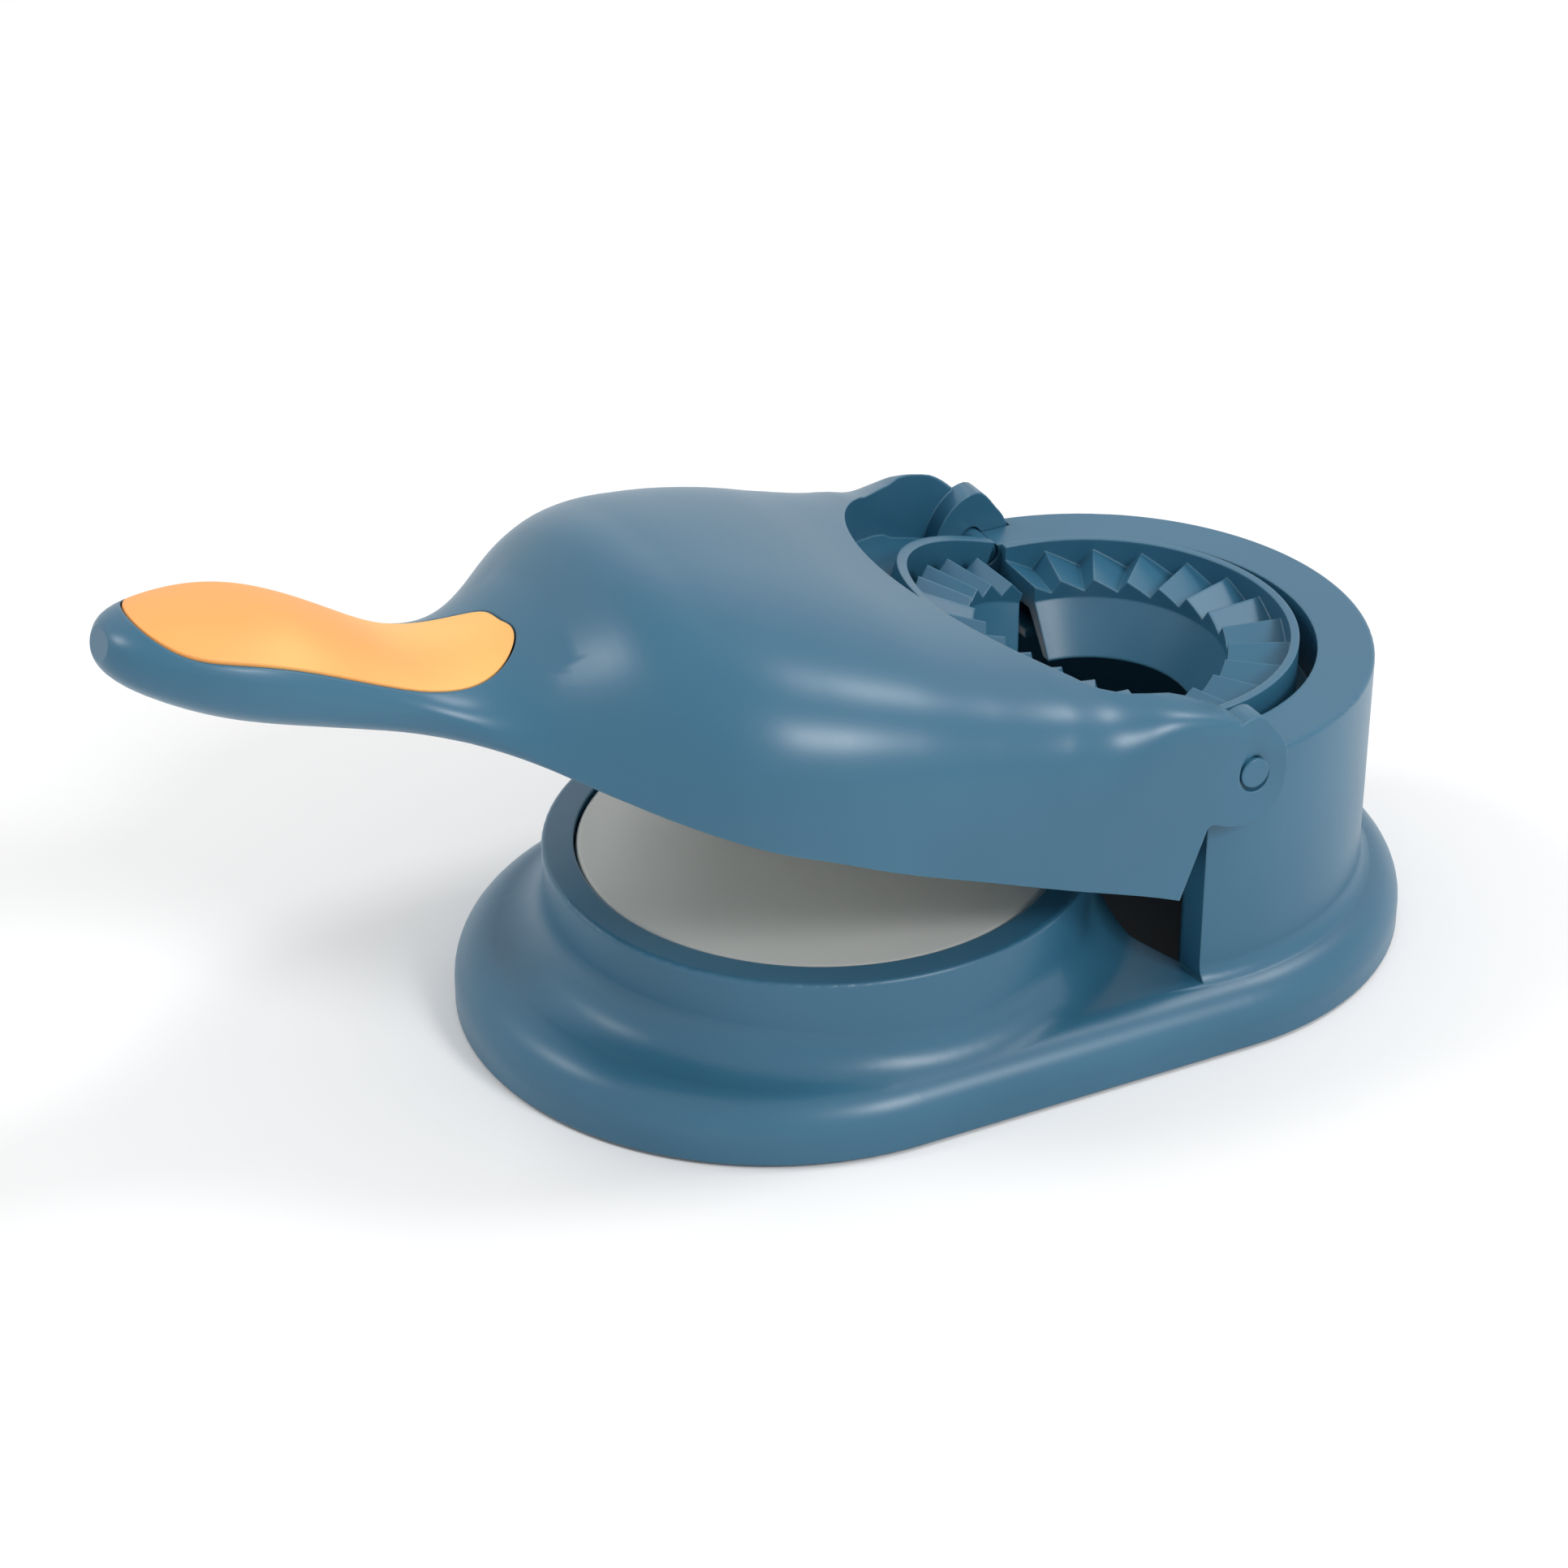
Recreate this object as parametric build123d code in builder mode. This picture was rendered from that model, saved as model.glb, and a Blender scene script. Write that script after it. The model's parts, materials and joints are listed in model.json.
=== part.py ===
# Empanada press: a lever with a press disc on a hollow base, and a folding mould in two toothed halves.
# Origin: table height, in the middle of the raised press. +X across, +Y from handle to tower, +Z up.
# The base is drawn as it stands. The lever is drawn in a frame of its own, "raised": its X axis is the
# hinge axis, its XY plane is level when the lever is shut, and it stands open by rest_angle.
import os
from math import cos, pi, radians, sin

from build123d import *

os.makedirs("parts", exist_ok=True)

# ---------- driving dimensions, in millimetres and degrees ----------
wall = 2.5                  # moulded base
foot_radius = 60.0          # both ends of the foot
foot_length = 69.8          # between the two end centres
foot_front_y = -1.5         # centre of the front end
foot_gap = 0.8              # shell edge above the table, carried by the rubber feet
deck_z = 12.8
shoulder_radius = 8.0
collar_flare = 8.5          # hollow roundings where collar and tower meet the deck
tower_flare = 4.0
rim_round = 0.9

collar_radius = 51.9
collar_y = foot_front_y + 9.8
collar_z = 30.7
plate_radius = 45.5
plate_thickness = 3.0
plate_drop = 0.4            # lower disc's face below the collar's rim
press_gap = 0.5             # between the two discs when the lever is shut
plate_screw_radius = 30.0

pin_y = foot_front_y + 69.0  # hinge axis, and the middle of the tower and of the mould
pin_z = 56.7
pin_radius = 2.5
pin_play = 0.05
pin_inner_x = 42.0
pin_head_radius = 2.9
pin_head_height = 0.9
pin_recess_radius = 3.5
pin_recess_depth = 1.3

tower_radius = 52.5
tower_z = 58.3
tower_front = -7.1          # tower's front edges, from the hinge axis
hollow_front = -10.6        # front edge of the hollow in the deck, from the hinge axis
hollow_front_x = 33.0       # that edge is straight up to here, and then runs back to the posts
hollow_front_back = -6.2
opening_radius = 41.7
tower_top = 3.0             # thickness of the ring on top
skirt_wall = 2.0            # lip that hangs round the opening down to the ledge
ledge_top = -10.6           # ledge that carries the rear mould half, from the hinge axis
ledge_wall = 2.0
ledge_inner_radius = 28.0
post_inner_x = 47.1         # tower's front edges
post_depth = 4.9
bearing_inner_x = 43.7
bearing_face_x = 47.9
bearing_reach = 11.0

rest_angle = 20.45          # how far the lever stands open
lever_wall = 2.4
cutout_radius = 53.1        # the lever's open back, which swings over the tower
cutout_wall = 2.4
lever_floor_top = -2.6      # floor of the open back, below the tower's top when folded over
lever_floor_wall = 2.0
lever_back = -7.7           # back wall, between the arms
hollow_start = -9.9         # the dome's hollow begins in front of that wall
arm_x = 56.0
arm_top_radius = 9.4
arm_bottom_radius = 10.5
arm_end_y = 7.3
notch_y = -6.4              # rear corner of the lower rim
notch_round = 1.3
knuckle_radius = 8.2
knuckle_x = 48.2
knuckle_play = 0.5
cover_wall = 2.0            # plate that closes the lever's underside
cover_play = 0.4
boss_radius = 3.5

grip_bed_z = -20.8
grip_groove = 0.35
handle_hollow_radius = 13.3
handle_hollow_top = -23.2
handle_cover_top = -27.0
handle_hollow_y = (-144.0, -173.0)

mould_half_gap = 1.2        # each half stops this far from the hinge axis
bowl_top_radius = 25.0
bowl_bottom_radius = 19.0
bowl_wall = 2.0
bowl_bottom_z = -13.4
band_top = -3.2
band_bottom = -5.4
mould_rim = 3.5
tooth_radius = 36.0
tooth_pitch = 15.0
tooth_steep = 4.0           # part of the pitch taken by the steep side
tooth_middle = -0.6         # half of the dough's room between the halves
tooth_height = 1.8          # tip above the middle, at tooth_radius
ring_radius = 36.6          # rear half's ring, which folds into the front half's groove
ring_wall = 1.6
groove_outer_radius = 39.0
groove_bottom = -8.0
front_rim_radius = 41.0
front_foot = -10.4
mould_screw_radius = 31.8
ear_screw_radius = 44.5

screw_radius = 1.4
screw_head_radius = 2.8
screw_clearance = 0.2
cover_screw_length = 8.0
ear_screw_length = 6.0
handle_screw_length = 7.0
plate_screw_length = 4.2
rear_screw_length = 6.0
washer_head_radius = 4.5
washer_head_height = 1.4
plate_boss_radius = 3.0
plate_boss_play = 0.2

floor_cover_z = 1.4
floor_cover_wall = 2.2
floor_cover_play = 0.4
floor_boss_radius = 4.0
floor_screw_length = 8.0
rubber_radius = 6.0
rubber_height = 2.4

far = 150.0                 # past everything, for cuts that run right through
deep = -45.0                # below everything on the lever
high = 20.0                 # above everything behind the lever's arms

# The lever's outer form, one row to a station: place along the lever, half width, height where it is
# widest, top, bottom, and squareness of the arch (2 is an ellipse, more is squarer).
lever_stations = [
    (10, 56.0, -26, 9.6, -26.0, 14),
    (-10, 56.0, -26, 9.6, -26.0, 12),
    (-26, 56.2, -26, 9.1, -26.0, 8),
    (-40, 56.2, -26, 8.9, -26.0, 5),
    (-55, 56.0, -26, 9.2, -26.0, 4),
    (-70, 55.4, -26, 9.5, -26.0, 3.4),
    (-86, 53.0, -26, 8.5, -26.0, 3),
    (-100, 48.0, -26, 6.7, -26.0, 2.7),
    (-112, 38.5, -26, 3.4, -26.5, 2.4),
    (-122, 28.0, -25.5, -7.2, -27.8, 2.2),
    (-132, 20.8, -24, -14.8, -29.0, 2.0),
    (-142, 17.2, -23, -16.6, -29.8, 2.1),
    (-154, 16.6, -23, -14.6, -30.4, 2.3),
    (-168, 17.2, -23, -12.1, -31.0, 2.3),
    (-180, 16.2, -23, -12.7, -31.0, 2.3),
    (-189, 13.0, -23, -15.4, -30.0, 2.3),
    (-195, 8.8, -23, -18.0, -28.4, 2.3),
    (-198, 4.0, -23, -20.6, -26.0, 2.2),
]
arch_steps = 24

# Half of the grip's outline, seen from above, from its front end to its rear end.
grip_half_outline = [
    (0, -125.0),
    (6.8, -125.9),
    (11.0, -129.6),
    (13.7, -138.0),
    (14.8, -150.0),
    (15.6, -166.0),
    (14.9, -180.0),
    (11.2, -189.4),
    (6.6, -193.2),
    (0, -194.6),
]

front_aligned = (Align.CENTER, Align.MIN)

# ---------- frames ----------
hinge = Plane(origin=(0, pin_y, pin_z), x_dir=(1, 0, 0), z_dir=(0, 0, 1))
raised = Plane(
    origin=(0, pin_y, pin_z),
    x_dir=(1, 0, 0),
    z_dir=(0, sin(radians(rest_angle)), cos(radians(rest_angle))),
)


def cross_plane(frame, y):
    """Plane across a frame at y: x across, z up."""
    return Plane(origin=frame.from_local_coords((0, y, 0)), x_dir=(1, 0, 0), z_dir=-frame.y_dir)


def side_plane(frame, x):
    """Plane along a frame at x: y along, z up."""
    return Plane(origin=frame.from_local_coords((x, 0, 0)), x_dir=frame.y_dir, z_dir=(1, 0, 0))


def facing_down(frame, x, y, z):
    """Plane at a point of a frame, facing down in that frame."""
    return Plane(origin=frame.from_local_coords((x, y, z)), x_dir=(1, 0, 0), z_dir=-frame.z_dir)


def facing_up(frame, x, y, z):
    """Plane at a point of a frame, facing up in that frame."""
    return Plane(origin=frame.from_local_coords((x, y, z)), x_dir=(1, 0, 0), z_dir=frame.z_dir)


def polar(radius, angle):
    return (radius * cos(radians(angle)), radius * sin(radians(angle)))


def upright(frame):
    """Axis through a frame's origin, along its z."""
    return Axis(frame.origin, frame.z_dir)


def save(piece, name):
    piece.part.label = name
    export_step(piece.part, f"parts/{name}.step")


# ---------- fasteners ----------
def cross_recess(planes, size, depth):
    """Sketches of a cross slot, cut into the heads that face out of these planes."""
    with BuildSketch(*planes) as cross:
        Rectangle(size, size * 0.24)
        Rectangle(size * 0.24, size)
    extrude(cross.sketch, amount=-depth, mode=Mode.SUBTRACT)


def countersunk_screws(name, planes, length):
    """One node of countersunk screws, each with its head's face in a plane that faces out of it."""
    head_height = screw_head_radius - screw_radius
    with BuildPart(*planes) as screws:
        Cylinder(screw_radius, length, align=(Align.CENTER, Align.CENTER, Align.MAX))
        Cone(
            screw_radius,
            screw_head_radius,
            head_height,
            align=(Align.CENTER, Align.CENTER, Align.MAX),
        )
        cross_recess(planes, 1.3 * screw_head_radius, 0.6 * head_height)
    save(screws, name)


def washer_screws(name, planes, length):
    """One node of washer-head screws, each with its seat in a plane that faces out of the head."""
    with BuildPart(*planes) as screws:
        Cylinder(screw_radius, length, align=(Align.CENTER, Align.CENTER, Align.MAX))
        Cylinder(
            washer_head_radius,
            washer_head_height,
            align=(Align.CENTER, Align.CENTER, Align.MIN),
        )
        tops = [plane.offset(washer_head_height) for plane in planes]
        cross_recess(tops, washer_head_radius, 0.6 * washer_head_height)
    save(screws, name)


def countersunk_holes(planes, depth):
    """Holes that take countersunk screws, entered from these planes."""
    with Locations(*planes):
        CounterSinkHole(screw_radius + screw_clearance, screw_head_radius, depth, 90)


# ---------- places ----------
seat_z = collar_z - plate_drop - plate_thickness
cover_top = seat_z + 2 * plate_thickness + press_gap + cover_wall - pin_z
handle_seat_z = -29.8
floor_screw_xy = [(side * x, y) for side in (-1, 1) for x, y in ((32, -34), (49, 26), (36.5, 106))]
rubber_xy = [(side * 44, y) for side in (-1, 1) for y in (-20, 88)]
plate_screw_xy = [polar(plate_screw_radius, angle) for angle in (90, 210, 330)]
rear_screw_xy = [polar(mould_screw_radius, angle) for angle in (30, 90, 150)]
ear_xy = [polar(ear_screw_radius, angle) for angle in (210, 270, 330)]
cover_screw_xy = [(side * x, y) for side in (-1, 1) for x, y in ((46, -36), (28, -106))]
handle_screw_y = (-150, -172)
press_y = collar_y - pin_y   # middle of the discs, from the hinge axis

floor_screws = [facing_down(Plane.XY, x, y, floor_cover_z) for x, y in floor_screw_xy]
lower_plate_screws = [
    facing_down(Plane.XY, x, collar_y + y, seat_z - wall) for x, y in plate_screw_xy
]
rear_screws = [facing_down(hinge, x, y, ledge_top - ledge_wall) for x, y in rear_screw_xy]
ear_screws = [facing_down(raised, x, y, front_foot) for x, y in ear_xy]
cover_screws = [facing_down(raised, x, y, cover_top - cover_wall) for x, y in cover_screw_xy]
upper_plate_screws = [facing_up(raised, x, press_y + y, cover_top) for x, y in plate_screw_xy]
handle_screws = [facing_down(raised, 0, y, handle_seat_z) for y in handle_screw_y]


# ---------- base shell: foot, collar and tower in one moulding ----------
def foot_outline(inset):
    with BuildSketch() as outline:
        with Locations((0, foot_front_y + foot_length / 2)):
            SlotCenterToCenter(foot_length, 2 * (foot_radius - inset), rotation=90)
    return outline.sketch


def foot_with_column(radius, height, middle_y, flare, inset=0.0):
    """Foot with its rounded shoulder and a round column, with a hollow rounding between them."""
    with BuildPart(mode=Mode.PRIVATE) as form:
        add(foot_outline(inset).moved(Location((0, 0, foot_gap))))
        extrude(amount=deck_z - inset - foot_gap)
        fillet(form.edges().group_by(Axis.Z)[-1], shoulder_radius)
        with BuildSketch(Plane.XY.offset(foot_gap)):
            with Locations((0, middle_y)):
                Circle(radius)
        extrude(amount=height - foot_gap)
        fillet(form.edges(Select.NEW), flare)
        fillet(form.edges().group_by(Axis.Z)[-1], rim_round)
    return form.part


foot_with_collar = foot_with_column(collar_radius, collar_z, collar_y, collar_flare)
foot_with_tower = foot_with_column(tower_radius, tower_z, pin_y, tower_flare, inset=0.05)
skirt_radius = opening_radius + skirt_wall

with BuildPart() as foot_hollow:
    add(foot_outline(wall))
    extrude(amount=deck_z - wall)
    fillet(foot_hollow.edges().group_by(Axis.Z)[-1], shoulder_radius - wall)

with BuildPart() as base_shell:
    # foot and tower, cut off flat in front, and the collar
    add(foot_with_tower)
    with BuildSketch(Plane.XY.offset(deck_z)):
        with Locations((0, pin_y + tower_front)):
            Rectangle(far, far, align=(Align.CENTER, Align.MAX))
    extrude(amount=tower_z, mode=Mode.SUBTRACT)
    add(foot_with_collar)
    # hollow of the tower, through the deck up to the collar
    with BuildSketch():
        with BuildLine():
            corners = [
                (hollow_front_x, hollow_front),
                (bearing_face_x, hollow_front_back),
                (far, hollow_front_back),
            ]
            right = [(x, pin_y + y) for x, y in corners]
            left = [(-x, y) for x, y in reversed(right)]
            Polyline(*left, *right, (far, far), (-far, far), left[0])
        make_face()
        with Locations((0, pin_y)):
            Circle(tower_radius - wall, mode=Mode.INTERSECT)
        with Locations((0, collar_y)):
            Circle(collar_radius, mode=Mode.SUBTRACT)
    extrude(amount=tower_z - tower_top, mode=Mode.SUBTRACT)
    # hollow of the foot and of the collar
    add(foot_hollow.part, mode=Mode.SUBTRACT)
    with BuildSketch():
        with Locations((0, collar_y)):
            Circle(collar_radius - wall)
    extrude(amount=seat_z - wall, mode=Mode.SUBTRACT)
    # seat of the lower disc, with holes for its bosses
    with BuildSketch(Plane.XY.offset(seat_z)):
        with Locations((0, collar_y)):
            Circle(plate_radius + cover_play)
    extrude(amount=plate_thickness + plate_drop, mode=Mode.SUBTRACT)
    with Locations(*lower_plate_screws):
        Cylinder(plate_boss_radius + plate_boss_play, 4 * wall, mode=Mode.SUBTRACT)
    # opening on top, with its skirt
    with BuildSketch(Plane.XY.offset(tower_z)):
        with Locations((0, pin_y)):
            Circle(opening_radius)
    extrude(amount=-2 * tower_top, mode=Mode.SUBTRACT)
    with BuildSketch(hinge.offset(ledge_top - ledge_wall)):
        Circle(skirt_radius)
        Circle(opening_radius, mode=Mode.SUBTRACT)
        with Locations((0, tower_front)):
            Rectangle(far, far, align=(Align.CENTER, Align.MAX), mode=Mode.SUBTRACT)
    extrude(amount=tower_z - pin_z - ledge_top + ledge_wall - tower_top / 2)
    # ledge for the rear mould half
    with BuildSketch(hinge.offset(ledge_top)):
        Circle(skirt_radius)
        Circle(ledge_inner_radius, mode=Mode.SUBTRACT)
        with Locations((0, mould_half_gap)):
            Rectangle(far, far, align=(Align.CENTER, Align.MAX), mode=Mode.SUBTRACT)
    extrude(amount=-ledge_wall)
    with Locations(*rear_screws):
        Cylinder(screw_radius + screw_clearance, 3 * ledge_wall, mode=Mode.SUBTRACT)
    # bearing blocks at the front edges, and the posts below them
    with BuildSketch(hinge.offset(-bearing_reach)):
        Circle(tower_radius - wall / 2)
        Circle(bearing_inner_x, mode=Mode.SUBTRACT)
        with Locations((0, tower_front)):
            Rectangle(far, bearing_reach - tower_front, align=front_aligned, mode=Mode.INTERSECT)
    extrude(amount=bearing_reach + tower_z - pin_z - tower_top / 2)
    with BuildSketch(hinge.offset(-bearing_reach)):
        Circle(tower_radius - wall / 2)
        Rectangle(2 * post_inner_x, far, mode=Mode.SUBTRACT)
        with Locations((0, tower_front)):
            Rectangle(far, post_depth, align=front_aligned, mode=Mode.INTERSECT)
    extrude(amount=deck_z - wall - pin_z + bearing_reach)
    # pockets for the knuckles, open above, and the bores of the pins
    pocket_depth = tower_radius + 2 - bearing_face_x
    pocket_starts = (bearing_face_x, -bearing_face_x - pocket_depth)
    with BuildSketch(*[side_plane(hinge, x) for x in pocket_starts]):
        Circle(knuckle_radius + knuckle_play)
        Rectangle(2 * (knuckle_radius + knuckle_play), high, align=front_aligned)
    extrude(amount=pocket_depth, mode=Mode.SUBTRACT)
    with BuildSketch(side_plane(hinge, -tower_radius)):
        Circle(pin_radius + pin_play)
    extrude(amount=2 * tower_radius, mode=Mode.SUBTRACT)
    # bosses of the floor cover
    with BuildSketch(Plane.XY.offset(floor_cover_z + floor_cover_wall)):
        with Locations(*floor_screw_xy):
            Circle(floor_boss_radius)
    extrude(amount=deck_z - wall - floor_cover_z - floor_cover_wall)
    with Locations(*floor_screws):
        Cylinder(screw_radius, 2 * (floor_screw_length + 0.5), mode=Mode.SUBTRACT)
save(base_shell, "base_shell")

with BuildPart() as bottom_cover:
    add(foot_outline(wall + floor_cover_play).moved(Location((0, 0, floor_cover_z))))
    extrude(amount=floor_cover_wall)
    with BuildSketch(Plane.XY.offset(floor_cover_z)):
        with Locations(*rubber_xy):
            Circle(rubber_radius)
    extrude(amount=rubber_height - floor_cover_z, mode=Mode.SUBTRACT)
    countersunk_holes(floor_screws, floor_cover_wall)
save(bottom_cover, "bottom_cover")

with BuildPart() as rubber_feet:
    with BuildSketch():
        with Locations(*rubber_xy):
            Circle(rubber_radius)
    extrude(amount=rubber_height)
    fillet(rubber_feet.edges().group_by(Axis.Z)[0], 0.6)
save(rubber_feet, "rubber_feet")

countersunk_screws("base_cover_screws", floor_screws, floor_screw_length)


# ---------- press discs ----------
with BuildPart() as lower_press_plate:
    with BuildSketch(Plane.XY.offset(seat_z)):
        with Locations((0, collar_y)):
            Circle(plate_radius)
    extrude(amount=plate_thickness)
    fillet(lower_press_plate.edges().group_by(Axis.Z)[-1], 1.0)
    with Locations(*lower_plate_screws):
        Cylinder(plate_boss_radius, wall, align=(Align.CENTER, Align.CENTER, Align.MAX))
        Cylinder(screw_radius, 2 * plate_screw_length, mode=Mode.SUBTRACT)
save(lower_press_plate, "lower_press_plate")

washer_screws("lower_plate_screws", lower_plate_screws, plate_screw_length)


# ---------- folding mould: two half bowls, each with a band of teeth ----------
def teeth(frame, ends, crest, outer_radius, facing):
    """Band of teeth over half a turn. Heights are from the middle height, at tooth_radius: at the
    ends of each pitch and at the crest (or the valley) beside its steep side."""
    half_pitch = tooth_pitch / 2
    with BuildPart(mode=Mode.PRIVATE) as band:
        for number in range(round(180 / tooth_pitch)):
            turn = facing * (number + 0.5) * tooth_pitch
            outward = frame.x_dir * cos(radians(turn)) + frame.y_dir * sin(radians(turn))
            sections = []
            for reach in (0.6 * bowl_top_radius, 1.1 * outer_radius):
                place = Plane(
                    origin=frame.origin + outward * reach,
                    x_dir=frame.z_dir.cross(outward),
                    z_dir=outward,
                )
                half = reach * sin(radians(half_pitch)) / cos(radians(half_pitch))
                steep = facing * reach * sin(radians(tooth_steep - half_pitch))
                rise = tooth_height * reach / tooth_radius
                with BuildSketch(place) as section:
                    Polygon(
                        (-half, band_top - 1),
                        (half, band_top - 1),
                        (half, tooth_middle + ends * rise),
                        (steep, tooth_middle + crest * rise),
                        (-half, tooth_middle + ends * rise),
                        align=None,
                    )
                sections.append(section.sketch)
            loft(sections, ruled=True)
        with BuildSketch(frame.offset(-20)) as ring:
            Circle(outer_radius)
            Circle(bowl_top_radius, mode=Mode.SUBTRACT)
        extrude(ring.sketch, amount=40, mode=Mode.INTERSECT)
    return band.part


def mould_profile(frame, points):
    """Half section of a mould half, turned about the upright axis of its frame."""
    with BuildSketch(cross_plane(frame, 0)) as profile:
        Polygon(*points, align=None)
    return revolve(profile.sketch, axis=upright(frame), mode=Mode.PRIVATE)


bowl_points = [
    (bowl_top_radius, band_top),
    (bowl_bottom_radius, bowl_bottom_z),
    (bowl_bottom_radius + bowl_wall, bowl_bottom_z),
    (bowl_top_radius + bowl_wall, band_bottom),
]

with BuildPart() as rear_mould:
    ring_outer = ring_radius + ring_wall
    add(
        mould_profile(
            hinge,
            [
                *bowl_points,
                (ring_radius, band_bottom),
                (ring_radius, ledge_top),
                (ring_outer, ledge_top),
                (ring_outer, mould_rim),
                (ring_radius, mould_rim),
                (ring_radius, band_top),
            ],
        )
    )
    add(teeth(hinge, 1, -1, ring_radius + ring_wall / 2, 1))
    split(bisect_by=cross_plane(hinge, mould_half_gap), keep=Keep.BOTTOM)
    with Locations(*[plane.offset(-ledge_wall) for plane in rear_screws]):
        Cylinder(boss_radius, band_bottom - ledge_top, align=(Align.CENTER, Align.CENTER, Align.MAX))
        Cylinder(screw_radius, 2 * 6, mode=Mode.SUBTRACT)
save(rear_mould, "rear_mould")

washer_screws("rear_mould_screws", rear_screws, rear_screw_length)

with BuildPart() as front_mould:
    add(
        mould_profile(
            raised,
            [
                *bowl_points,
                (tooth_radius - bowl_wall, band_bottom),
                (tooth_radius - bowl_wall, front_foot),
                (front_rim_radius, front_foot),
                (front_rim_radius, mould_rim),
                (groove_outer_radius, mould_rim),
                (groove_outer_radius, groove_bottom),
                (tooth_radius, groove_bottom),
                (tooth_radius, band_top),
            ],
        )
    )
    add(teeth(raised, -1, 1, tooth_radius, -1))
    split(bisect_by=cross_plane(raised, -mould_half_gap), keep=Keep.TOP)
    with BuildSketch(raised.offset(front_foot)):
        for place in ear_xy:
            with Locations(place):
                Circle(boss_radius + 1)
        Circle(front_rim_radius - 1, mode=Mode.SUBTRACT)
    extrude(amount=lever_floor_wall)
    countersunk_holes(ear_screws, lever_floor_wall)
save(front_mould, "front_mould")

countersunk_screws("front_mould_screws", ear_screws, ear_screw_length)


# ---------- lever ----------
def arch(station, inset):
    """Spline over the lever at a station, from one side to the other, this far inside its surface."""
    half_width, base, top, squareness = station[1], station[2], station[3], station[5]
    points = []
    for step in range(arch_steps + 1):
        angle = pi * step / arch_steps
        reach = (abs(cos(angle)) ** squareness + sin(angle) ** squareness) ** (-1 / squareness)
        across = (half_width - inset) * reach * cos(angle)
        points.append((across, base + (top - inset - base) * reach * sin(angle)))
    return points


def outer_section(station):
    """Closed section of the lever's outer form."""
    y, half_width, base, bottom = station[0], station[1], station[2], station[4]
    lower = []
    for step in range(arch_steps + 1):
        angle = pi * step / arch_steps
        lower.append((-half_width * cos(angle), base + (bottom - base) * sin(angle) ** (2 / 2.4)))
    with BuildSketch(cross_plane(raised, y)) as section:
        with BuildLine():
            Spline(*arch(station, 0))
            if bottom == base:
                Line(lower[0], lower[-1])
            else:
                Spline(*lower)
        make_face()
    return section.sketch


def inner_section(station, inset, shift=0.0):
    """Section this far inside the outer form, and open below."""
    side = station[1] - inset
    with BuildSketch(cross_plane(raised, station[0] + shift)) as section:
        with BuildLine():
            Spline(*arch(station, inset))
            Polyline((-side, station[2]), (-side, deep), (side, deep), (side, station[2]))
        make_face()
    return section.sketch


outer_form = loft([outer_section(station) for station in lever_stations], mode=Mode.PRIVATE)
dome_stations = lever_stations[2:10]  # the hollow part of the lever


def grip_outline(inset):
    """Long oval of the grip, seen from above, drawn in by the inset."""
    front, rear = grip_half_outline[0][1], grip_half_outline[-1][1]
    middle = (front + rear) / 2
    across = 1 - inset / max(x for x, y in grip_half_outline)
    along = 1 - inset / (front - middle)
    half = [(x * across, middle + (y - middle) * along) for x, y in grip_half_outline]
    other_half = [(-x, y) for x, y in half[-2:0:-1]]
    with BuildSketch() as outline:
        with BuildLine():
            Spline(*half, *other_half, periodic=True)
        make_face()
    return outline.sketch


def handle_slot(inset):
    """Plan of the handle's hollow."""
    front, rear = handle_hollow_y
    with BuildSketch() as slot:
        with Locations((0, (front + rear) / 2)):
            SlotCenterToCenter(front - rear, 2 * (handle_hollow_radius - inset), rotation=90)
    return slot.sketch


with BuildPart() as dome_hollow:
    first = (hollow_start, *lever_stations[1][1:])
    sections = [inner_section(station, lever_wall, lever_wall) for station in dome_stations]
    loft([inner_section(first, lever_wall), *sections])
    # the floor and the wall of the open back stay, and so do the bosses
    with BuildSketch(raised.offset(lever_floor_top - lever_floor_wall)):
        Circle(cutout_radius + cutout_wall)
    extrude(amount=40, mode=Mode.SUBTRACT)
    with BuildSketch(raised.offset(cover_top)):
        with Locations(*cover_screw_xy):
            Circle(boss_radius)
    extrude(amount=60, mode=Mode.SUBTRACT)
    with BuildSketch(raised.offset(front_foot + lever_floor_wall)):
        with Locations(*ear_xy):
            Circle(boss_radius)
    extrude(amount=40, mode=Mode.SUBTRACT)

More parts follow.
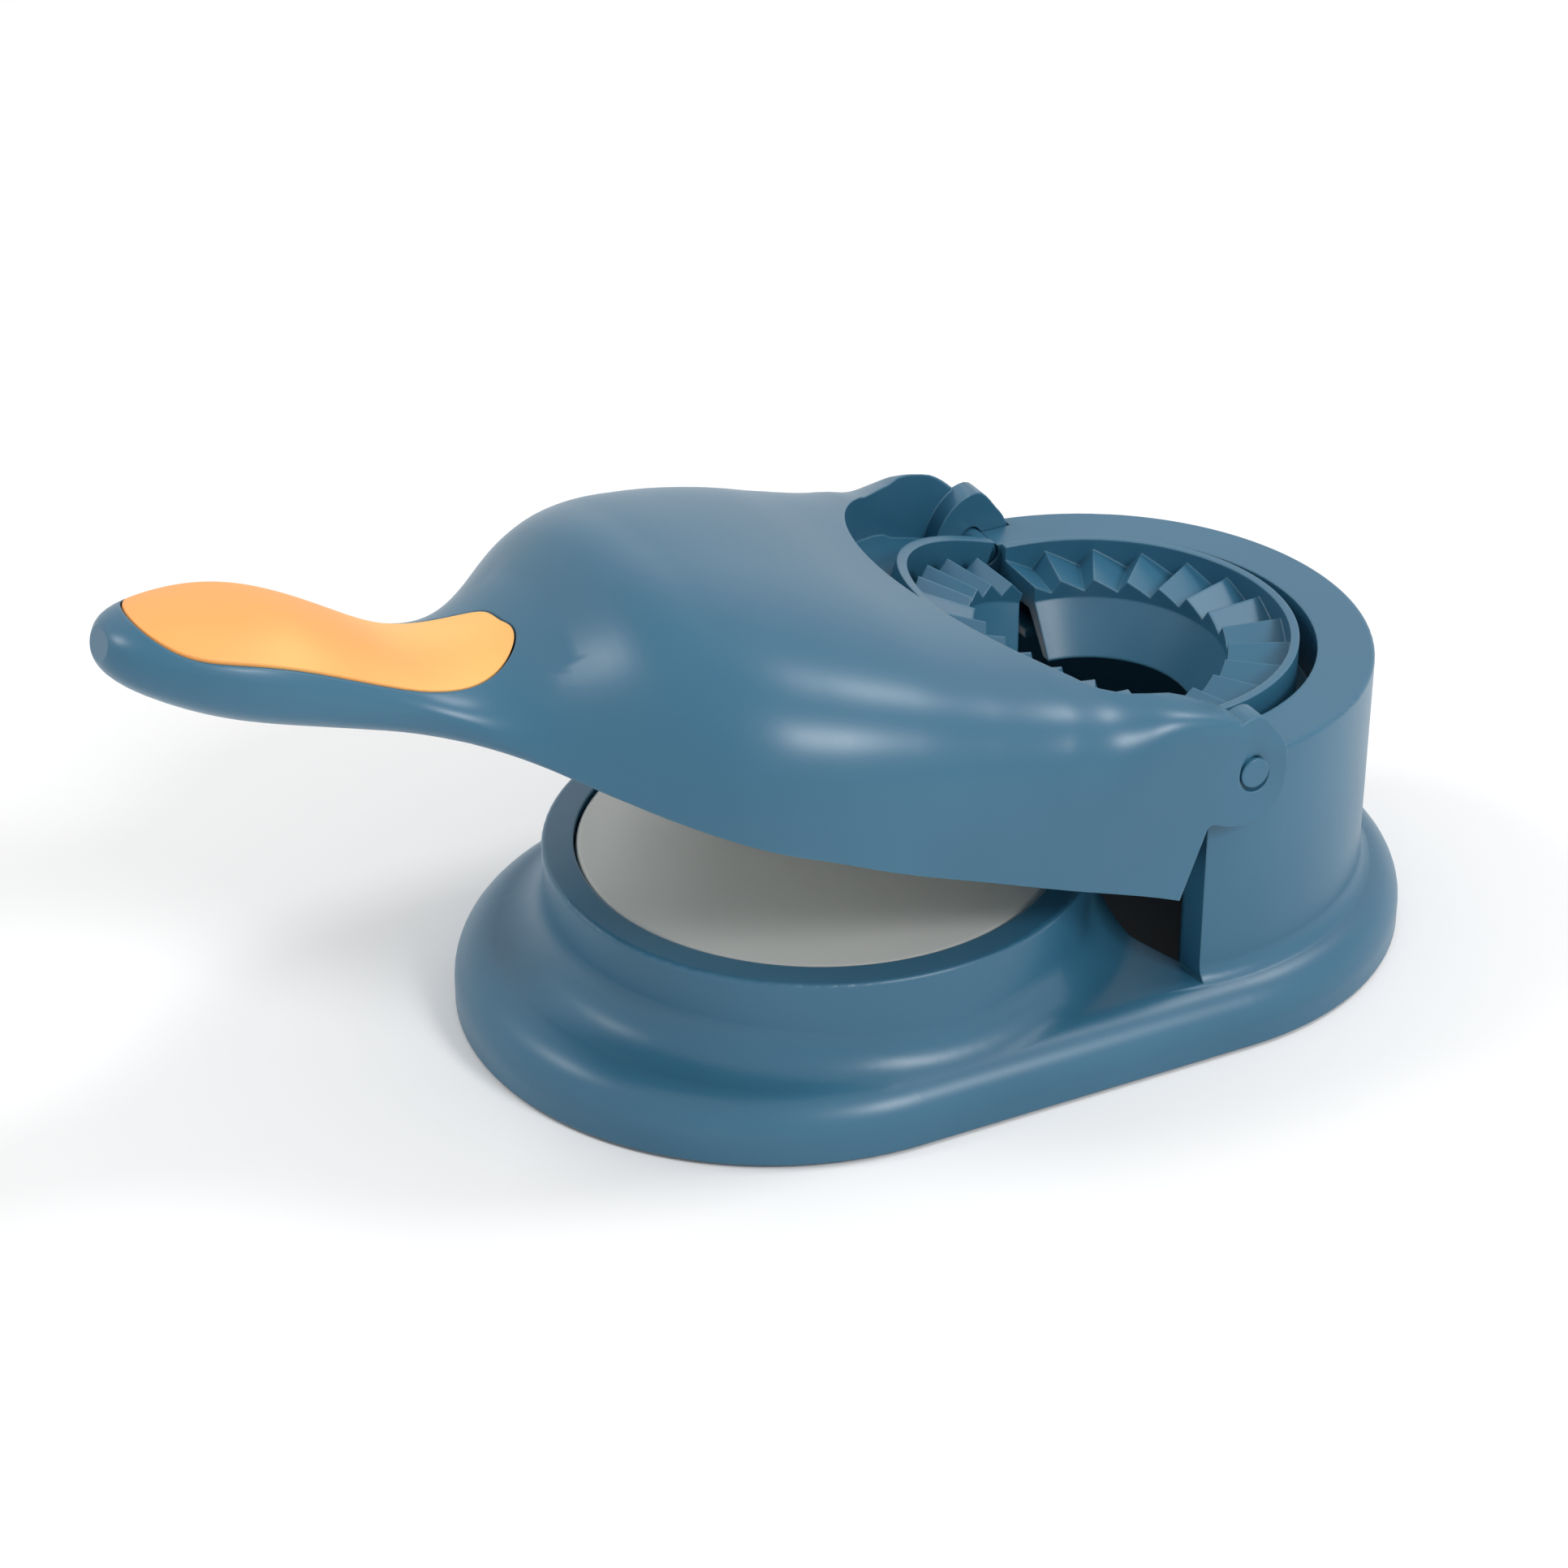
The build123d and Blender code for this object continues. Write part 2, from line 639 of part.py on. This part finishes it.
with BuildPart() as lever_shell:
    add(outer_form)
    # side view of the arm: round end, lower edge and the notch down to the rim
    with BuildSketch(side_plane(raised, -arm_x - 5)):
        with BuildLine():
            notch_edge = Line((notch_y, deep), (notch_y, -arm_bottom_radius - notch_round))
            notch = JernArc(notch_edge @ 1, (0, 1), notch_round, -90)
            lower_edge = Line(notch @ 1, (arm_end_y - arm_bottom_radius, -arm_bottom_radius))
            end_below = JernArc(lower_edge @ 1, (1, 0), arm_bottom_radius, 90)
            end_above = JernArc(end_below @ 1, (0, 1), arm_top_radius, 90)
            Polyline(end_above @ 1, ((end_above @ 1).X, high), (high, high), (high, deep), notch_edge @ 0)
        make_face()
    extrude(amount=2 * arm_x + 10, mode=Mode.SUBTRACT)
    add(dome_hollow.part, mode=Mode.SUBTRACT)
    # open back: down to its floor, and right through behind its back wall
    with BuildSketch(raised.offset(lever_floor_top)):
        Circle(cutout_radius)
        Rectangle(2 * cutout_radius, high, align=front_aligned)
    extrude(amount=40, mode=Mode.SUBTRACT)
    with BuildSketch(raised.offset(deep)):
        Circle(cutout_radius)
        Rectangle(2 * cutout_radius, high, align=front_aligned)
        with Locations((0, lever_back)):
            Rectangle(far, far, align=(Align.CENTER, Align.MAX), mode=Mode.SUBTRACT)
    extrude(amount=80, mode=Mode.SUBTRACT)
    # hole for the front mould half, and room for the collar and the cover below the back wall
    with BuildSketch(raised.offset(bowl_bottom_z - 2)):
        Circle(front_rim_radius + cover_play)
    extrude(amount=30, mode=Mode.SUBTRACT)
    with BuildSketch(raised.offset(deep)):
        Rectangle(2 * cutout_radius, -2 * hollow_start + 4)
    extrude(amount=cover_top - cover_wall - deep, mode=Mode.SUBTRACT)
    # knuckles, with the pins' bores and recesses
    reach = cutout_radius - knuckle_x + 0.5
    with BuildSketch(*[side_plane(raised, x) for x in (knuckle_x, -knuckle_x - reach)]):
        Circle(knuckle_radius)
    extrude(amount=reach)
    with BuildSketch(side_plane(raised, -arm_x - 2)):
        Circle(pin_radius)
    extrude(amount=2 * arm_x + 4, mode=Mode.SUBTRACT)
    recess_start = arm_x - pin_recess_depth
    with BuildSketch(*[side_plane(raised, x) for x in (recess_start, -2 * arm_x)]):
        Circle(pin_recess_radius)
    extrude(amount=arm_x + pin_recess_depth, mode=Mode.SUBTRACT)
    # screw holes of the cover and of the front mould half
    with Locations(*cover_screws):
        Cylinder(screw_radius, 2 * (cover_screw_length + 0.5), mode=Mode.SUBTRACT)
    with Locations(*ear_screws):
        Cylinder(screw_radius, 2 * (ear_screw_length + 0.4), mode=Mode.SUBTRACT)
    # hollow of the handle, with bosses that stop at its cover
    with BuildSketch(raised.offset(deep)):
        add(handle_slot(0))
    extrude(amount=handle_cover_top - deep, mode=Mode.SUBTRACT)
    with BuildSketch(raised.offset(handle_cover_top)):
        add(handle_slot(0))
        with Locations(*[(0, y) for y in handle_screw_y]):
            Circle(boss_radius, mode=Mode.SUBTRACT)
    extrude(amount=handle_hollow_top - handle_cover_top, mode=Mode.SUBTRACT)
    with Locations(*handle_screws):
        Cylinder(screw_radius, 2 * (handle_screw_length + 0.5), mode=Mode.SUBTRACT)
    # bed of the grip
    with BuildSketch(raised.offset(grip_bed_z)):
        add(grip_outline(0))
    extrude(amount=40, dir=raised.z_dir, mode=Mode.SUBTRACT)
save(lever_shell, "lever_shell")

with BuildPart() as lever_under_cover:
    first = (hollow_start - cover_play, *lever_stations[1][1:])
    gap = lever_wall + cover_play
    sections = [inner_section(station, gap, gap) for station in dome_stations]
    loft([inner_section(first, gap), *sections])
    with BuildSketch(raised.offset(cover_top - cover_wall)):
        Rectangle(far, far, align=(Align.CENTER, Align.MAX))
    extrude(amount=cover_wall, mode=Mode.INTERSECT)
    with Locations(*upper_plate_screws):
        Cylinder(plate_boss_radius + plate_boss_play, 4 * cover_wall, mode=Mode.SUBTRACT)
    countersunk_holes(cover_screws, cover_wall)
save(lever_under_cover, "lever_under_cover")

countersunk_screws("under_cover_screws", cover_screws, cover_screw_length)

with BuildPart() as upper_press_plate:
    with BuildSketch(raised.offset(cover_top - cover_wall)):
        with Locations((0, press_y)):
            Circle(plate_radius - 0.5)
    extrude(amount=-plate_thickness)
    fillet(upper_press_plate.edges().group_by(upright(raised))[0], 1.0)
    with Locations(*[plane.offset(-cover_wall) for plane in upper_plate_screws]):
        Cylinder(plate_boss_radius, cover_wall, align=(Align.CENTER, Align.CENTER, Align.MIN))
    with Locations(*upper_plate_screws):
        Cylinder(screw_radius, 2 * plate_screw_length, mode=Mode.SUBTRACT)
save(upper_press_plate, "upper_press_plate")

washer_screws("upper_plate_screws", upper_plate_screws, plate_screw_length)

with BuildPart() as handle_grip:
    add(outer_form)
    with BuildSketch(raised.offset(grip_bed_z)):
        add(grip_outline(grip_groove))
    extrude(amount=40, dir=raised.z_dir, mode=Mode.INTERSECT)
save(handle_grip, "handle_grip")

with BuildPart() as handle_cover:
    add(outer_form)
    with BuildSketch(raised.offset(deep)):
        add(handle_slot(cover_play))
    extrude(amount=handle_cover_top - deep, mode=Mode.INTERSECT)
    with Locations(*handle_screws):
        Cylinder(
            screw_head_radius + screw_clearance,
            4,
            align=(Align.CENTER, Align.CENTER, Align.MIN),
            mode=Mode.SUBTRACT,
        )
    countersunk_holes(handle_screws, handle_cover_top - handle_seat_z)
save(handle_cover, "handle_cover")

countersunk_screws("handle_cover_screws", handle_screws, handle_screw_length)


# ---------- hinge pins ----------
for side, name in ((1, "hinge_pin_right"), (-1, "hinge_pin_left")):
    seat = Plane(
        origin=raised.from_local_coords((side * (arm_x - pin_recess_depth), 0, 0)),
        x_dir=raised.y_dir,
        z_dir=(side, 0, 0),
    )
    with BuildPart() as hinge_pin:
        with BuildSketch(seat):
            Circle(pin_head_radius)
        extrude(amount=pin_head_height)
        fillet(hinge_pin.edges().group_by(upright(seat))[-1], 0.3)
        with BuildSketch(seat):
            Circle(pin_radius)
        extrude(amount=pin_inner_x - arm_x + pin_recess_depth)
        chamfer(hinge_pin.edges().group_by(upright(seat))[0], 0.4)
    save(hinge_pin, name)
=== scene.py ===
import json
import math

import bpy
from mathutils import Matrix, Vector
from mathutils.bvhtree import BVHTree


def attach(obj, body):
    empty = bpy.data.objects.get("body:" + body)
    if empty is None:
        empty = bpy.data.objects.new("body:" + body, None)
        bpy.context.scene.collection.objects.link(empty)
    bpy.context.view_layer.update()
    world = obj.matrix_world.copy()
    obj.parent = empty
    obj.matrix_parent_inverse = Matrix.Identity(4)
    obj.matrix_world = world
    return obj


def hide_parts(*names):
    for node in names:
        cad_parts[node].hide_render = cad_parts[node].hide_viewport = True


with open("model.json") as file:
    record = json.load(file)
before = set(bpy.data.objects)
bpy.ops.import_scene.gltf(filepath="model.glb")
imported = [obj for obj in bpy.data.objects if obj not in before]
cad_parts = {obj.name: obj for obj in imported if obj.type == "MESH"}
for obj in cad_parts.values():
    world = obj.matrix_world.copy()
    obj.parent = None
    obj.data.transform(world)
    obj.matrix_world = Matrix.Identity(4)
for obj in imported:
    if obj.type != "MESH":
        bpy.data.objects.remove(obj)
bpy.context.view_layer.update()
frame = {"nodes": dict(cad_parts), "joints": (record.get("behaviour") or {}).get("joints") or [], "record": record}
nodes = frame["nodes"]
hinge = frame["joints"][0]
mm = 0.001
pinPlace = Vector(hinge["pos_m"])
restAngle = math.radians(-hinge["range_deg"][0])
# the lever's own frame, level when the lever is shut
leverFrame = Matrix.Translation(pinPlace) @ Matrix.Rotation(-restAngle, 4, "X")
print("frame loaded:", len(nodes), "nodes")


# shader maths: a socket with operators, and a finish that makes nodes
class Signal:
    def __init__(self, finish, socket):
        self.finish = finish
        self.socket = socket

    def math(self, operation, other=None, swapped=False):
        values = [self, other] if not swapped else [other, self]
        return self.finish.node("ShaderNodeMath", {"operation": operation}, dict(enumerate(values)))

    def __add__(self, other):
        return self.math("ADD", other)

    def __radd__(self, other):
        return self.math("ADD", other)

    def __rsub__(self, other):
        return self.math("SUBTRACT", other, True)

    def __mul__(self, other):
        return self.math("MULTIPLY", other)

    def __rmul__(self, other):
        return self.math("MULTIPLY", other)

    def smooth(self, low, high):
        return self.finish.node(
            "ShaderNodeMapRange",
            {"interpolation_type": "SMOOTHSTEP"},
            {"Value": self, "From Min": low, "From Max": high},
        )


class Finish:
    def __init__(self, name):
        self.material = bpy.data.materials.new(name)
        self.material.use_nodes = True
        self.tree = self.material.node_tree
        self.shader = self.tree.nodes["Principled BSDF"]

    def node(self, kind, settings=None, inputs=None, output=0):
        made = self.tree.nodes.new(kind)
        for name, value in (settings or {}).items():
            setattr(made, name, value)
        for name, value in (inputs or {}).items():
            self.feed(made.inputs[name], value)
        return Signal(self, made.outputs[output])

    def feed(self, socket, value):
        if isinstance(value, Signal):
            self.tree.links.new(value.socket, socket)
        elif value is not None:
            socket.default_value = value

    def place(self, scale=(1, 1, 1)):
        where = self.node("ShaderNodeTexCoord", output=3)
        return self.node("ShaderNodeMapping", {}, {"Vector": where, "Scale": scale})

    def noise(self, scale, detail=2.0, roughness=0.5, stretch=(1, 1, 1)):
        return self.node(
            "ShaderNodeTexNoise",
            {},
            {"Vector": self.place(stretch), "Scale": scale, "Detail": detail, "Roughness": roughness},
        )

    def blend(self, amount, first, second):
        return self.node("ShaderNodeMix", {"data_type": "RGBA"}, {0: amount, 6: first, 7: second}, 2)

    def edges(self, radius):
        rounded = self.node("ShaderNodeBevel", {"samples": 6}, {"Radius": radius})
        flat = self.node("ShaderNodeNewGeometry", output=1)
        facing = self.node("ShaderNodeVectorMath", {"operation": "DOT_PRODUCT"}, {0: rounded, 1: flat}, 1)
        return 1 - facing

    def bump(self, height, strength, distance, edge=None):
        inputs = {"Height": height, "Strength": strength, "Distance": distance}
        if edge:
            inputs["Normal"] = self.node("ShaderNodeBevel", {"samples": 6}, {"Radius": edge})
        return self.node("ShaderNodeBump", {}, inputs)

    def set(self, **values):
        for name, value in values.items():
            self.feed(self.shader.inputs[name.replace("_", " ")], value)
        return self


def shade(red, green, blue):
    parts = [channel / 255 for channel in (red, green, blue)]
    linear = [part / 12.92 if part <= 0.04045 else ((part + 0.055) / 1.055) ** 2.4 for part in parts]
    return (*linear, 1)


# finishes
bluePlastic = {
    "colour": shade(44, 95, 122),
    "worn": shade(49, 101, 128),
    # painted highlight: a lighter blue laid along rounded edges in place of the light line their fillets catch
    "edge": shade(92, 144, 168),
    "edgeHighlightShare": 0.55,
    "roughness": 0.30,
    "cloudScale": 18,
    "grainScale": 900,
    "edgeRadius": 0.6 * mm,
    "ripple": 0.05,
    "rippleHeight": 0.05 * mm,
}


def makeBlue(name, values):
    finish = Finish(name)
    cloud = finish.noise(values["cloudScale"], 3)
    grain = finish.noise(values["grainScale"], 2, 0.6)
    body = finish.blend(cloud.smooth(0.35, 0.75), values["colour"], values["worn"])
    # painted highlight along edges: the bevel-normal edge mask mixes the lighter edge blue into the body colour
    paintedEdgeHighlight = finish.edges(values["edgeRadius"]).smooth(0.02, 0.2) * values["edgeHighlightShare"]
    finish.set(
        Base_Color=finish.blend(paintedEdgeHighlight, body, values["edge"]),
        Roughness=values["roughness"] + 0.05 * cloud + 0.03 * grain,
        Normal=finish.bump(grain, values["ripple"], values["rippleHeight"], values["edgeRadius"]),
        Specular_IOR_Level=0.5,
    )
    return finish.material


whitePlastic = {"colour": shade(196, 198, 194), "roughness": 0.32}


def makeWhite(name, values):
    finish = Finish(name)
    cloud = finish.noise(25, 2)
    finish.set(
        Base_Color=values["colour"],
        Roughness=values["roughness"] + 0.06 * cloud,
        Normal=finish.bump(finish.noise(700), 0.04, 0.05 * mm, 0.3 * mm),
    )
    return finish.material


orangeGrip = {"colour": shade(251, 168, 92), "tip": shade(247, 190, 110), "roughness": 0.5}


def makeOrange(name, values):
    finish = Finish(name)
    dimples = finish.node(
        "ShaderNodeTexVoronoi",
        {"feature": "SMOOTH_F1"},
        {"Vector": finish.place(), "Scale": 420, "Smoothness": 0.4},
    )
    finish.set(
        Base_Color=finish.blend(finish.noise(22, 2).smooth(0.35, 0.7), values["colour"], values["tip"]),
        Roughness=values["roughness"] + 0.08 * finish.noise(60),
        Normal=finish.bump(dimples, 0.12, 0.15 * mm, 0.4 * mm),
    )
    return finish.material


darkPlastic = {"colour": shade(38, 46, 52), "roughness": 0.55}
rubber = {"colour": shade(34, 35, 37), "roughness": 0.8}
steel = {"colour": shade(178, 180, 184), "roughness": 0.32}


def makePlain(name, values, metallic=0.0, grain=1200):
    finish = Finish(name)
    finish.set(
        Base_Color=values["colour"],
        Metallic=metallic,
        Roughness=values["roughness"] + 0.08 * finish.noise(80),
        Normal=finish.bump(finish.noise(grain, 3), 0.12, 0.08 * mm, 0.2 * mm),
    )
    return finish.material


finishes = {
    "body_blue": makeBlue("bluePlastic", bluePlastic),
    "pin_blue": makeBlue("pinPlastic", {**bluePlastic, "edgeRadius": 0.2 * mm}),
    "plate_white": makeWhite("whitePlastic", whitePlastic),
    "grip_orange": makeOrange("orangeGrip", orangeGrip),
    "cover_dark": makePlain("darkPlastic", darkPlastic),
    "rubber_dark": makePlain("rubber", rubber),
    "steel": makePlain("screwSteel", steel, 1.0),
}
for part in frame["record"]["subparts"]:
    for materialSlot in nodes[part["node"]].material_slots:
        materialSlot.material = finishes[part["material_slot"]]
print("finishes made:", len(finishes))


# lever shell: the domed skin drawn through smooth stations, with the arms a little fuller
def deselectAll():
    if bpy.context.mode != "OBJECT":
        bpy.ops.object.mode_set(mode="OBJECT")
    bpy.ops.object.select_all(action="DESELECT")


# the CAD mesh is loose triangles, so its corners are joined by place and keep their own normals
def mergedCopy(name, source):
    turn = source.matrix_world.to_3x3().normalized()
    corners, faces, normals = {}, [], []
    for face in source.data.polygons:
        spots = [tuple(source.matrix_world @ source.data.vertices[i].co) for i in face.vertices]
        ring = [corners.setdefault(spot, len(corners)) for spot in spots]
        if len(set(ring)) == len(ring):
            faces.append(ring)
            normals += [turn @ source.data.corner_normals[i].vector for i in face.loop_indices]
    mesh = bpy.data.meshes.new(name)
    mesh.from_pydata(list(corners), [], faces)
    mesh.shade_smooth()
    piece = bpy.data.objects.new(name, mesh)
    bpy.context.scene.collection.objects.link(piece)
    return piece, normals


leverSkin = {  # millimetres: y, half width, foot, top, squareness
    "stations": [
        (12, 56, -26, 10.8, 30), (-10, 56, -26, 10.7, 26), (-26, 56.2, -26, 9.8, 8),
        (-40, 56.2, -26, 9.1, 5), (-55, 56, -26, 8.8, 4.1), (-70, 55.4, -26, 9.2, 3.5),
        (-86, 53, -26, 8.5, 3), (-100, 48, -26, 6.7, 2.7), (-112, 38.5, -26, 3.4, 2.4),
        (-122, 28, -25.5, -7.2, 2.2), (-132, 20.8, -24, -14.8, 2.0), (-142, 17.2, -23, -16.6, 2.1),
        (-154, 16.6, -23, -14.6, 2.3), (-168, 17.2, -23, -12.1, 2.3), (-180, 16.2, -23, -12.7, 2.3),
        (-189, 13, -23, -15.4, 2.3), (-195, 8.8, -23, -18, 2.3), (-198.5, 4, -23, -20.6, 2.2),
    ],
    "armStart": -3.0,
    "armEnd": 4.0,
    "neckStart": -128.0,
    "neckEnd": -108.0,
    "footLevel": -26.0,
    "footFadeStart": -30.0,
    "footFadeEnd": -14.0,
    "nearSkin": 1.7,
    "sameWay": 0.86,
    "aboveFoot": 0.5,
    "roundness": 30.0,
}
riseGrid = {  # millimetres, and shares of the half width
    "start": -198,
    "step": 2,
    "rows": 106,
    "shares": [0, 0.15, 0.3, 0.45, 0.6, 0.75, 0.86, 0.94],
    "above": 60,
    "farthest": 2.6,
    "overshoot": 1.1,
}


def easeThrough(rows, y):
    rows = sorted(rows)
    y = min(max(y, rows[0][0]), rows[-1][0] - 1e-6)
    at = next(i for i in range(len(rows) - 1) if rows[i + 1][0] > y)
    span = rows[at + 1][0] - rows[at][0]
    part = (y - rows[at][0]) / span

    def slope(index, column):
        low, high = rows[max(index - 1, 0)], rows[min(index + 1, len(rows) - 1)]
        return (high[column] - low[column]) / (high[0] - low[0]) * span

    return [
        (2 * part**3 - 3 * part**2 + 1) * rows[at][column]
        + (part**3 - 2 * part**2 + part) * slope(at, column)
        + (3 * part**2 - 2 * part**3) * rows[at + 1][column]
        + (part**3 - part**2) * slope(at + 1, column)
        for column in range(1, len(rows[0]))
    ]


def skinTop(x, y):
    half, foot, top, square = easeThrough(leverSkin["stations"], y)
    across = min(abs(x / half), 0.999)
    return foot + (top - foot) * (1 - across**square) ** (1 / square)


def skinField(x, y, z):
    half, foot, top, square = easeThrough(leverSkin["stations"], y)
    rise = max((z - foot) / (top - foot), 0)
    return (abs(x / half) ** square + rise**square) ** (1 / square) * min(half, leverSkin["roundness"])


def skinNormal(place, step=0.05):
    slopes = []
    for axis in range(3):
        ahead, behind = place.copy(), place.copy()
        ahead[axis] += step
        behind[axis] -= step
        slopes.append(skinField(*ahead) - skinField(*behind))
    return Vector(slopes).normalized()


def riseTable(tree):
    rows = []
    for number in range(riseGrid["rows"]):
        y = riseGrid["start"] + riseGrid["step"] * number
        half = easeThrough(leverSkin["stations"], y)[0]
        row = []
        for share in riseGrid["shares"]:
            hit = tree.ray_cast(Vector((share * half, y, riseGrid["above"])), Vector((0, 0, -1)))[0]
            wanted = skinTop(share * half, y)
            close = hit and abs(hit.z - wanted) < riseGrid["farthest"]
            row.append((hit.z, wanted - hit.z) if close else None)
        known = [i for i, value in enumerate(row) if value]
        if known:
            row = [row[min(known, key=lambda k, i=i: abs(k - i))] for i in range(len(row))]
        elif rows:
            row = rows[-1]
        rows.append(row)
    firstKnown = next(row for row in rows if row[0])
    return [row if row[0] else firstKnown for row in rows]


def riseAt(table, x, y):
    shares = riseGrid["shares"]
    half = easeThrough(leverSkin["stations"], y)[0]
    share = min(abs(x) / half, shares[-1] - 1e-6)
    column = next(i for i in range(len(shares) - 1) if shares[i + 1] > share)
    outward = (share - shares[column]) / (shares[column + 1] - shares[column])
    place = min(max((y - riseGrid["start"]) / riseGrid["step"], 0), len(table) - 1.001)
    line = int(place)
    onward = place - line
    total = [0, 0]
    for row, weight in ((table[line], 1 - onward), (table[line + 1], onward)):
        for entry, part in ((row[column], 1 - outward), (row[column + 1], outward)):
            for index in (0, 1):
                total[index] += entry[index] * weight * part
    return total


def blendFrom(value, low, high):
    part = min(max((value - low) / (high - low), 0), 1)
    return part * part * (3 - 2 * part)


# how much the neck's own surface gives way to the drawn one, from the grip towards the hood
def neckShare(y):
    return blendFrom(y, leverSkin["neckStart"], leverSkin["neckEnd"])


def raised(table, place):
    top, rise = riseAt(table, place.x, place.y)
    rise *= 1 - blendFrom(place.y, leverSkin["armStart"], leverSkin["armEnd"])
    rise *= neckShare(place.y)
    fade = blendFrom(place.y, leverSkin["footFadeStart"], leverSkin["footFadeEnd"])
    still = leverSkin["footLevel"] * (1 - fade)
    share = min(max((place.z - still) / max(top - still, 1), 0), riseGrid["overshoot"])
    return Vector((place.x, place.y, place.z + rise * share))


def skinShading(place, normal):
    if place.y <= leverSkin["neckStart"]:
        return normal
    half, foot, top, square = easeThrough(leverSkin["stations"], place.y)
    away = abs(skinField(*place) / min(half, leverSkin["roundness"]) - 1) * (top - foot)
    smooth = skinNormal(place)
    above = place.z > foot + leverSkin["aboveFoot"]
    if above and away < leverSkin["nearSkin"] and normal.dot(smooth) > leverSkin["sameWay"]:
        return normal.lerp(smooth, neckShare(place.y)).normalized()
    return normal


def makeLeverShell():
    piece, given = mergedCopy("leverShell", nodes["lever_shell"])
    mesh = piece.data
    toLever = leverFrame.inverted()
    places = [toLever @ vertex.co / mm for vertex in mesh.vertices]
    tree = BVHTree.FromPolygons(places, [list(face.vertices) for face in mesh.polygons])
    table = riseTable(tree)
    moved = [raised(table, place) for place in places]
    turn = toLever.to_3x3().normalized()
    normals = [
        turn.inverted() @ skinShading(moved[loop.vertex_index], turn @ own)
        for loop, own in zip(mesh.loops, given)
    ]
    for vertex, place in zip(mesh.vertices, moved):
        vertex.co = leverFrame @ (place * mm)
    mesh.normals_split_custom_set(normals)
    mesh.update()
    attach(piece, "lever")
    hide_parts("lever_shell")
    mesh.materials.append(finishes["body_blue"])


makeLeverShell()
print("lever shell made")


# stage, lamps and camera
stage = {"size": 6.0, "floorColour": shade(250, 250, 250), "floorRoughness": 0.9}
lamps = {
    "front": {"place": (1.36, 0.47, 1.14), "size": 0.45, "power": 13},
    "side": {"place": (0.13, 1.04, 1.5), "size": 0.4, "power": 7},
    "tip": {"place": (-0.59, -1.1, 1.4), "size": 0.5, "power": 8},
}
lampTarget = (0, 0, 0.05)
skyLevel = 0.6
view = {
    "place": (0.5807, -0.2969, 0.4241),
    "back": (0.7686, -0.3943, 0.5038),
    "right": (0.4565, 0.8897, 0.0),
    "lens": 93.84,
}


def makeFloor():
    deselectAll()
    bpy.ops.mesh.primitive_plane_add(size=stage["size"], location=(0, 0, 0))
    floor = bpy.context.object
    floor.name = "floor"
    finish = Finish("paleFloor")
    finish.set(Base_Color=stage["floorColour"], Roughness=stage["floorRoughness"])
    floor.data.materials.append(finish.material)


def aim(thing, target):
    direction = Vector(target) - thing.location
    thing.rotation_euler = direction.to_track_quat("-Z", "Y").to_euler()


def makeLamps():
    for name, values in lamps.items():
        deselectAll()
        bpy.ops.object.light_add(type="AREA", location=values["place"])
        lamp = bpy.context.object
        lamp.name = name
        lamp.data.size = values["size"]
        lamp.data.energy = values["power"]
        aim(lamp, lampTarget)


def makeSky():
    world = bpy.data.worlds.new("studio")
    world.use_nodes = True
    tree = world.node_tree
    background = tree.nodes["Background"]
    background.inputs["Color"].default_value = (1, 1, 1, 1)
    path = tree.nodes.new("ShaderNodeLightPath")
    seen = path.outputs["Is Camera Ray"]
    for ray in ("Is Glossy Ray", "Is Transmission Ray"):
        either = tree.nodes.new("ShaderNodeMath")
        either.operation = "MAXIMUM"
        tree.links.new(seen, either.inputs[0])
        tree.links.new(path.outputs[ray], either.inputs[1])
        seen = either.outputs[0]
    level = tree.nodes.new("ShaderNodeMapRange")
    level.inputs["To Min"].default_value = skyLevel
    level.inputs["To Max"].default_value = 1.0
    tree.links.new(seen, level.inputs["Value"])
    tree.links.new(level.outputs[0], background.inputs["Strength"])
    bpy.context.scene.world = world


def makeCamera():
    deselectAll()
    bpy.ops.object.camera_add()
    camera = bpy.context.object
    back, right = Vector(view["back"]).normalized(), Vector(view["right"]).normalized()
    up = back.cross(right)
    turn = Matrix((right, up, back)).transposed().to_4x4()
    camera.matrix_world = Matrix.Translation(Vector(view["place"])) @ turn
    camera.data.lens = view["lens"]
    camera.data.sensor_width = 36
    camera.data.clip_start = 0.01
    bpy.context.scene.camera = camera


makeFloor()
makeLamps()
makeSky()
makeCamera()
bpy.context.scene.view_settings.view_transform = "Standard"
print("stage, lamps and camera placed")
